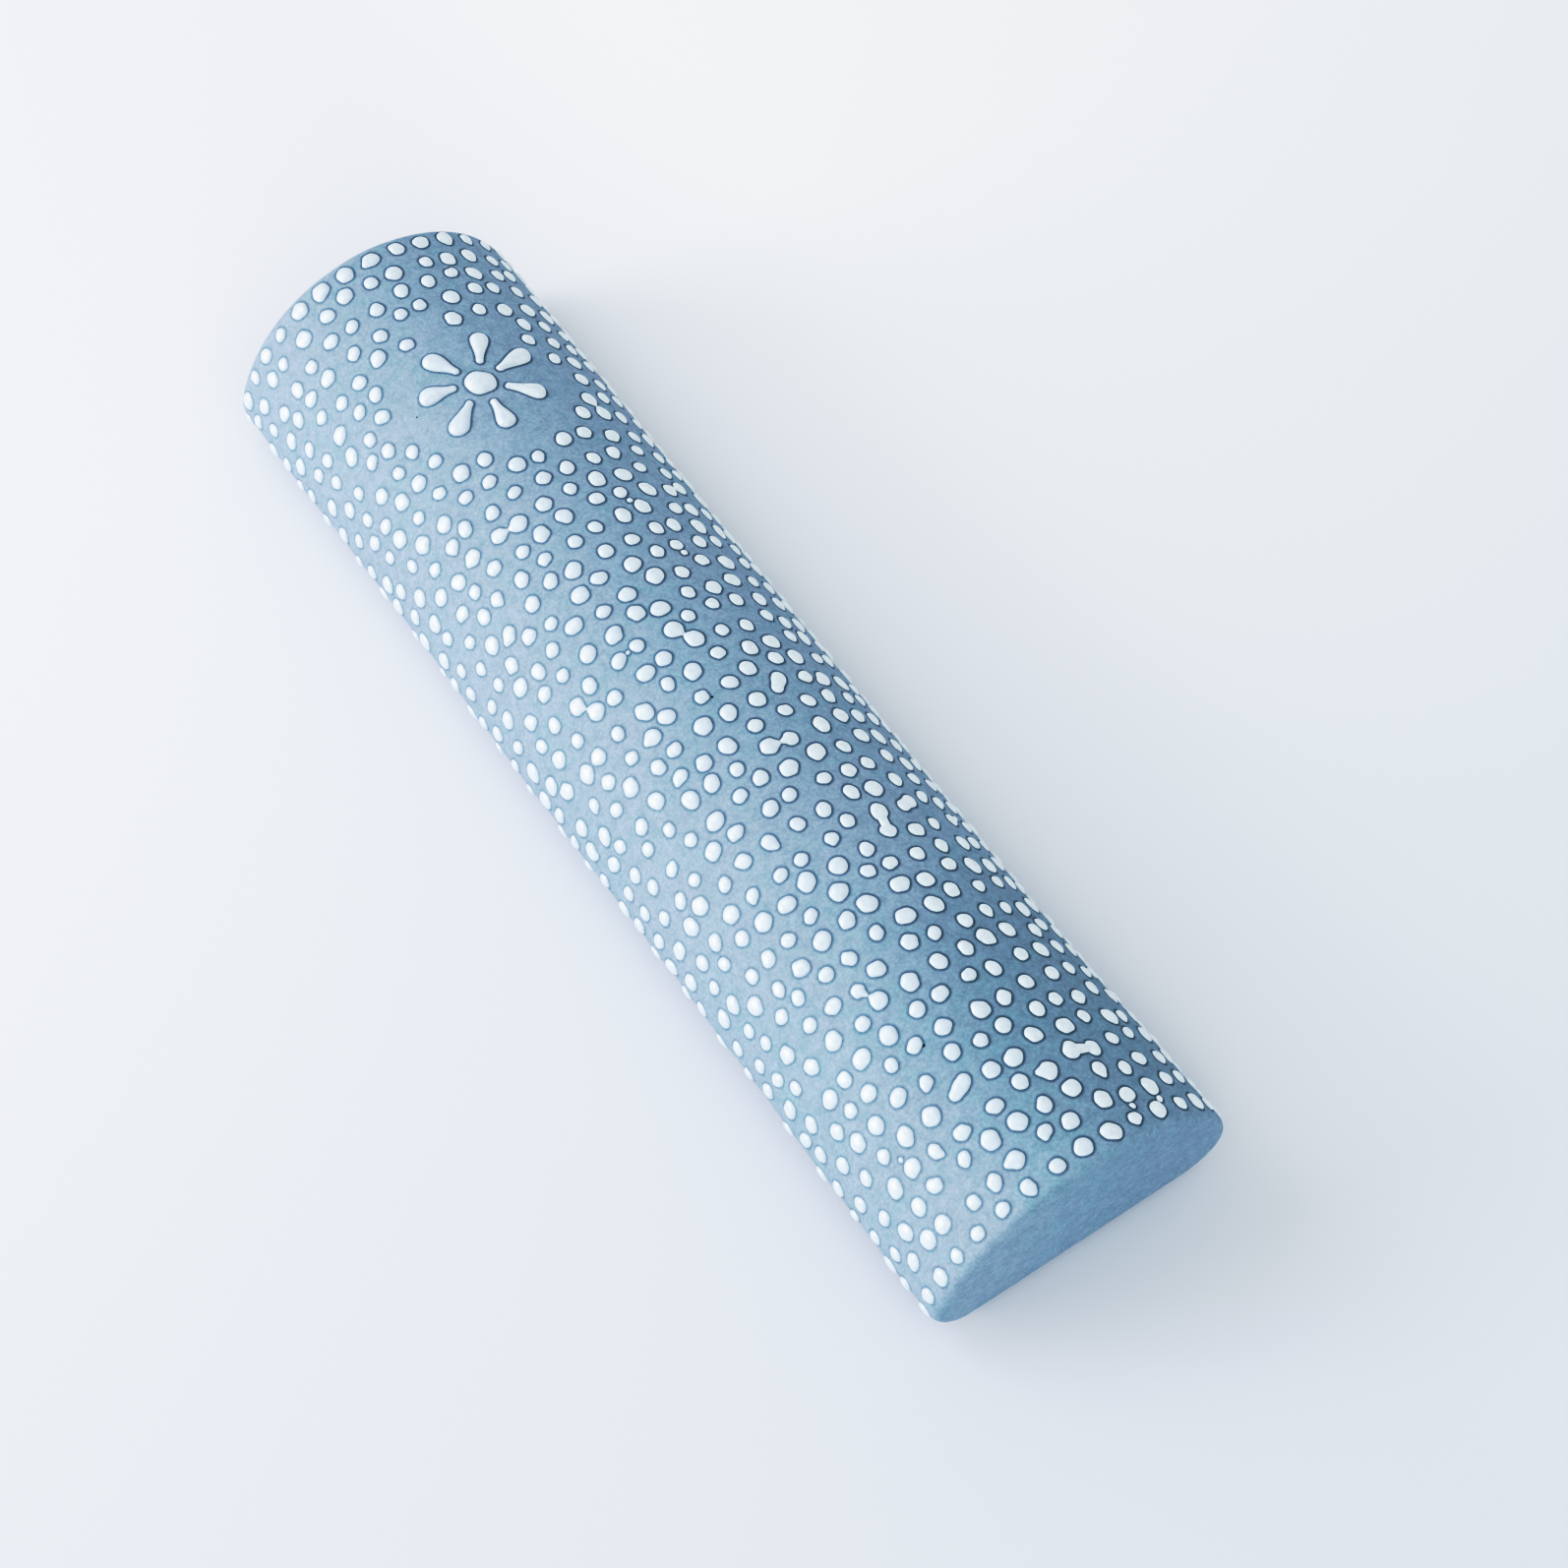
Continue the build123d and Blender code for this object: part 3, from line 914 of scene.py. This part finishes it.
def specks(paint, colour):
    """A few tiny iron specks, scattered at random."""
    cells = paint.add("ShaderNodeTexVoronoi")
    paint.link(paint.place, cells.inputs["Vector"])
    cells.inputs["Scale"].default_value = 1 / SPECK_CELL
    chosen = paint.add("ShaderNodeSeparateColor")
    paint.link(cells.outputs["Color"], chosen.inputs[0])
    is_chosen = paint.maths("GREATER_THAN", chosen.outputs[0], SPECK_RARITY)
    near = paint.maths("LESS_THAN", cells.outputs["Distance"], SPECK_RADIUS)
    return paint.mix(paint.maths("MULTIPLY", is_chosen, near), colour, SPECK)


def clay_surface_shader(paint, colour, shade=None):
    """Matte clay. Where shade is given, it says how strongly the colour turns into the halo's painted
    shade.
    """
    if shade is not None:
        colour = paint.mix(shade, colour, paint.mix(1.0, colour, HALO_SHADE_COLOUR, "MULTIPLY"))
    dimples = paint.bump(paint.noise(0.9 * MM, 3, 0.6), 0.020 * MM)
    grain = paint.bump(paint.noise(0.16 * MM, 2, 0.7), 0.012 * MM, after=dimples)
    return paint.surface(Base_Color=colour, Roughness=0.70, Specular_IOR_Level=0.22, Normal=grain)


def clay_material():
    paint = Paint("stained_porcelain")
    return paint.finish(clay_surface_shader(paint, clay_colour(paint)))


# Painted light: the slip is painted whiter on the shaded +X flank, standing in for its sheen there.
SLIP_LEFT = srgb(211, 226, 238)
SLIP_PAINTED_SHEEN = srgb(237, 250, 255)
SLIP_THIN = srgb(186, 200, 216)
SLIP_SHEEN_RAMP = (-5 * MM, 10 * MM)         # the painted sheen ramps up between these places across the case


def slip_material():
    """White slip with a satin skin, painted whiter towards +X as painted sheen on the shaded flank. Its
    skirt is clay, darkened into a halo of painted shade.
    """
    paint = Paint("white_slip")
    tone = paint.add("ShaderNodeAttribute", attribute_name="slip_and_halo_shade")
    split = paint.add("ShaderNodeSeparateColor")
    paint.link(tone.outputs["Color"], split.inputs[0])
    white, shade = split.outputs[0], split.outputs[1]
    clay = clay_surface_shader(paint, clay_colour(paint), shade)
    along_x = paint.add("ShaderNodeSeparateXYZ")
    paint.link(paint.place, along_x.inputs[0])
    # Painted sheen: whiter towards +X.
    colour = paint.mix(paint.remap(along_x.outputs[0], *SLIP_SHEEN_RAMP), SLIP_LEFT, SLIP_PAINTED_SHEEN)
    thin = paint.remap(paint.noise(0.55 * MM, 3, 0.6), 0.35, 0.7, 0.0, 0.35)
    colour = paint.mix(thin, colour, SLIP_THIN)
    skin = paint.bump(paint.noise(0.5 * MM, 2, 0.5), 0.014 * MM)
    slip = paint.surface(Base_Color=colour, Roughness=0.25, Specular_IOR_Level=0.85, Normal=skin)
    both = paint.add("ShaderNodeMixShader")
    paint.link(white, both.inputs[0])
    paint.link(clay, both.inputs[1])
    paint.link(slip, both.inputs[2])
    return paint.finish(both.outputs[0])


def rubber_material():
    paint = Paint("silicone_rubber")
    colour = paint.mix(paint.remap(paint.noise(3 * MM), 0.4, 0.6), srgb(205, 212, 214), srgb(214, 219, 220))
    skin = paint.bump(paint.noise(0.25 * MM, 2, 0.6), 0.006 * MM)
    return paint.finish(paint.surface(Base_Color=colour, Roughness=0.48, Normal=skin, Subsurface_Weight=0.3,
                                      Subsurface_Radius=(1.5 * MM, 1.5 * MM, 1.4 * MM)))


def parchment_material():
    paint = Paint("parchment")
    cloud = paint.remap(paint.noise(9 * MM, 5, 0.6), 0.35, 0.65)
    colour = paint.mix(cloud, srgb(216, 194, 150), srgb(229, 212, 174))
    pores = paint.remap(paint.noise(0.35 * MM, 3, 0.7), 0.55, 0.75, 0.0, 0.35)
    colour = paint.mix(pores, colour, srgb(190, 160, 118))
    skin = paint.bump(paint.noise(0.4 * MM, 4, 0.65), 0.02 * MM)
    sheet = paint.surface(Base_Color=colour, Roughness=0.72, Specular_IOR_Level=0.25, Normal=skin)
    return paint.finish(sheet)


def film_material():
    """Clear film: nearly all of it shows what is behind, and more of it shines towards its edges."""
    paint = Paint("clear_film")
    wrinkle = paint.bump(paint.noise(7 * MM, 2, 0.4), 0.05 * MM)
    facing = paint.add("ShaderNodeLayerWeight")
    facing.inputs["Blend"].default_value = 0.35
    cover = paint.remap(facing.outputs["Facing"], 0.0, 1.0, 0.10, 0.55)
    film = paint.surface(Base_Color=srgb(236, 243, 246), Roughness=0.10, Alpha=cover, Normal=wrinkle)
    return paint.finish(film)


def foam_material():
    paint = Paint("foam_tape")
    cells = paint.add("ShaderNodeTexVoronoi")
    paint.link(paint.place, cells.inputs["Vector"])
    cells.inputs["Scale"].default_value = 1 / (0.22 * MM)
    pitted = paint.bump(cells.outputs["Distance"], 0.03 * MM)
    # Painted shade: the foam is darker in the bottoms of its pits, where the bump is lowest.
    skin = paint.remap(cells.outputs["Distance"], 0.1, 0.6)
    colour = paint.mix(skin, srgb(206, 208, 208), srgb(236, 237, 236))
    return paint.finish(paint.surface(Base_Color=colour, Roughness=0.85, Normal=pitted))


def paint_piece(piece, material):
    piece.data.materials.clear()
    piece.data.materials.append(material)


# ---- Build ----------------------------------------------------------------------------------------------

clay = clay_material()
for slab in build_clay():
    paint_piece(slab, clay)
slip = slip_material()
paint_piece(build_dots(), slip)
paint_piece(build_flower(), slip)
paint_piece(build_stopper(), rubber_material())
paint_piece(build_parchment(), parchment_material())
paint_piece(build_sleeve(), film_material())
foam = foam_material()
for node in ("foam_pad_top", "foam_pad_bottom"):
    paint_piece(build_pad(node), foam)

# ---- Stage ----------------------------------------------------------------------------------------------

# Painted light and shade on the table: darker towards the near side and the left.
TABLE_FAR_LEFT = srgb(241, 243, 249)
TABLE_NEAR_LEFT = srgb(225, 229, 237)
TABLE_FAR_RIGHT = srgb(253, 254, 255)
TABLE_NEAR_RIGHT = srgb(229, 235, 242)
TABLE_PAINTED_FALLOFF = (90 * MM, -110 * MM)          # painted falloff of light: the table darkens between these places along the case
TABLE_PAINTED_LIGHT = (12 * MM, 52 * MM)           # painted light: the table lightens between these places across the case
TABLE_REACH = 6.0


def table_material():
    """A pale table, with painted light falloff: a little darker on its near side and on its left."""
    paint = Paint("pale_table")
    along = paint.add("ShaderNodeSeparateXYZ")
    paint.link(paint.place, along.inputs[0])
    near_side = paint.remap(along.outputs[1], *TABLE_PAINTED_FALLOFF)
    left = paint.mix(near_side, TABLE_FAR_LEFT, TABLE_NEAR_LEFT)
    right = paint.mix(near_side, TABLE_FAR_RIGHT, TABLE_NEAR_RIGHT)
    colour = paint.mix(paint.remap(along.outputs[0], *TABLE_PAINTED_LIGHT), left, right)
    return paint.finish(paint.surface(Base_Color=colour, Roughness=0.8, Specular_IOR_Level=0.2))


def build_table():
    corners = [(-1, -1), (1, -1), (1, 1), (-1, 1)]
    mesh = bpy.data.meshes.new("table")
    mesh.from_pydata([(x * TABLE_REACH, y * TABLE_REACH, 0) for x, y in corners], [], [(0, 1, 2, 3)])
    table = bpy.data.objects.new("table", mesh)
    bpy.context.scene.collection.objects.link(table)
    table.data.materials.append(table_material())


# Each soft light, all of them aimed at the case: its name, place, size, power and colour.
LIGHTS = (
    ("low_window", (-0.82, 0.40, 0.20), 0.50, 3.68, (1.075, 1.0, 1.055)),
    ("high_window", (-0.21, 0.25, 0.31), 0.24, 0.35, (1.04, 1.0, 1.03)),
    ("room_side", (-0.16, -0.40, 0.34), 0.40, 0.49, (0.98, 1.02, 1.01)),
)
LIGHT_AIM = Vector((0, 0, 0.01))
ROOM_COLOUR = (0.94, 1.0, 1.04, 1.0)
ROOM_STRENGTH = 0.484


def soft_box(name, place, size, power, colour):
    light = bpy.data.lights.new(name, "AREA")
    light.shape = "SQUARE"
    light.size = size
    light.energy = power
    light.color = colour
    lamp = bpy.data.objects.new(name, light)
    lamp.location = place
    lamp.rotation_euler = (LIGHT_AIM - Vector(place)).to_track_quat("-Z", "Y").to_euler()
    bpy.context.scene.collection.objects.link(lamp)


def build_lights():
    """Low soft daylight from the left, a weaker light above it, one on the near side, and a pale room."""
    for light in LIGHTS:
        soft_box(*light)
    world = bpy.data.worlds.new("room")
    world.use_nodes = True
    background = world.node_tree.nodes["Background"]
    background.inputs["Color"].default_value = ROOM_COLOUR
    background.inputs["Strength"].default_value = ROOM_STRENGTH
    bpy.context.scene.world = world


# Scene light on the left, picture brightness on the right: deeper mid-tones and soft highlights.
TONE_CURVE = (
    (0.075, 0.040),
    (0.150, 0.117),
    (0.225, 0.250),
    (0.270, 0.355),
    (0.315, 0.445),
    (0.390, 0.570),
    (0.525, 0.725),
    (0.675, 0.865),
    (0.860, 0.950),
    (1.000, 0.980),
)


def set_picture_tone():
    settings = bpy.context.scene.view_settings
    settings.view_transform = "Standard"
    settings.use_curve_mapping = True
    mapping = settings.curve_mapping
    mapping.clip_max_x = 2.5
    mapping.extend = "HORIZONTAL"
    curve = mapping.curves[3]
    curve.points[1].location = (2.0, 1.0)
    for light, brightness in TONE_CURVE:
        curve.points.new(light, brightness)
    mapping.update()


CAMERA_AZIMUTH = math.radians(-35.62)
CAMERA_HEIGHT_ANGLE = math.radians(58.81)
CAMERA_ROLL = math.radians(1.19)
CAMERA_DISTANCE = 308.3 * MM
CAMERA_AIM = Vector((2.66 * MM, -10.12 * MM, 8.93 * MM))
LENS = 76.2


def build_camera():
    back = Vector((
        math.sin(CAMERA_AZIMUTH) * math.cos(CAMERA_HEIGHT_ANGLE),
        -math.cos(CAMERA_AZIMUTH) * math.cos(CAMERA_HEIGHT_ANGLE),
        math.sin(CAMERA_HEIGHT_ANGLE),
    ))
    level_right = (-back).cross(Vector((0, 0, 1))).normalized()
    level_up = level_right.cross(-back)
    right = math.cos(CAMERA_ROLL) * level_right + math.sin(CAMERA_ROLL) * level_up
    up = -math.sin(CAMERA_ROLL) * level_right + math.cos(CAMERA_ROLL) * level_up
    lens = bpy.data.cameras.new("photo_angle")
    lens.lens = LENS
    lens.sensor_width = 36
    lens.clip_start = 0.01
    camera = bpy.data.objects.new("photo_angle", lens)
    turn = Matrix((right, up, back)).transposed().to_4x4()
    camera.matrix_world = Matrix.Translation(CAMERA_AIM + back * CAMERA_DISTANCE) @ turn
    bpy.context.scene.collection.objects.link(camera)
    bpy.context.scene.camera = camera


build_table()
build_lights()
build_camera()
set_picture_tone()
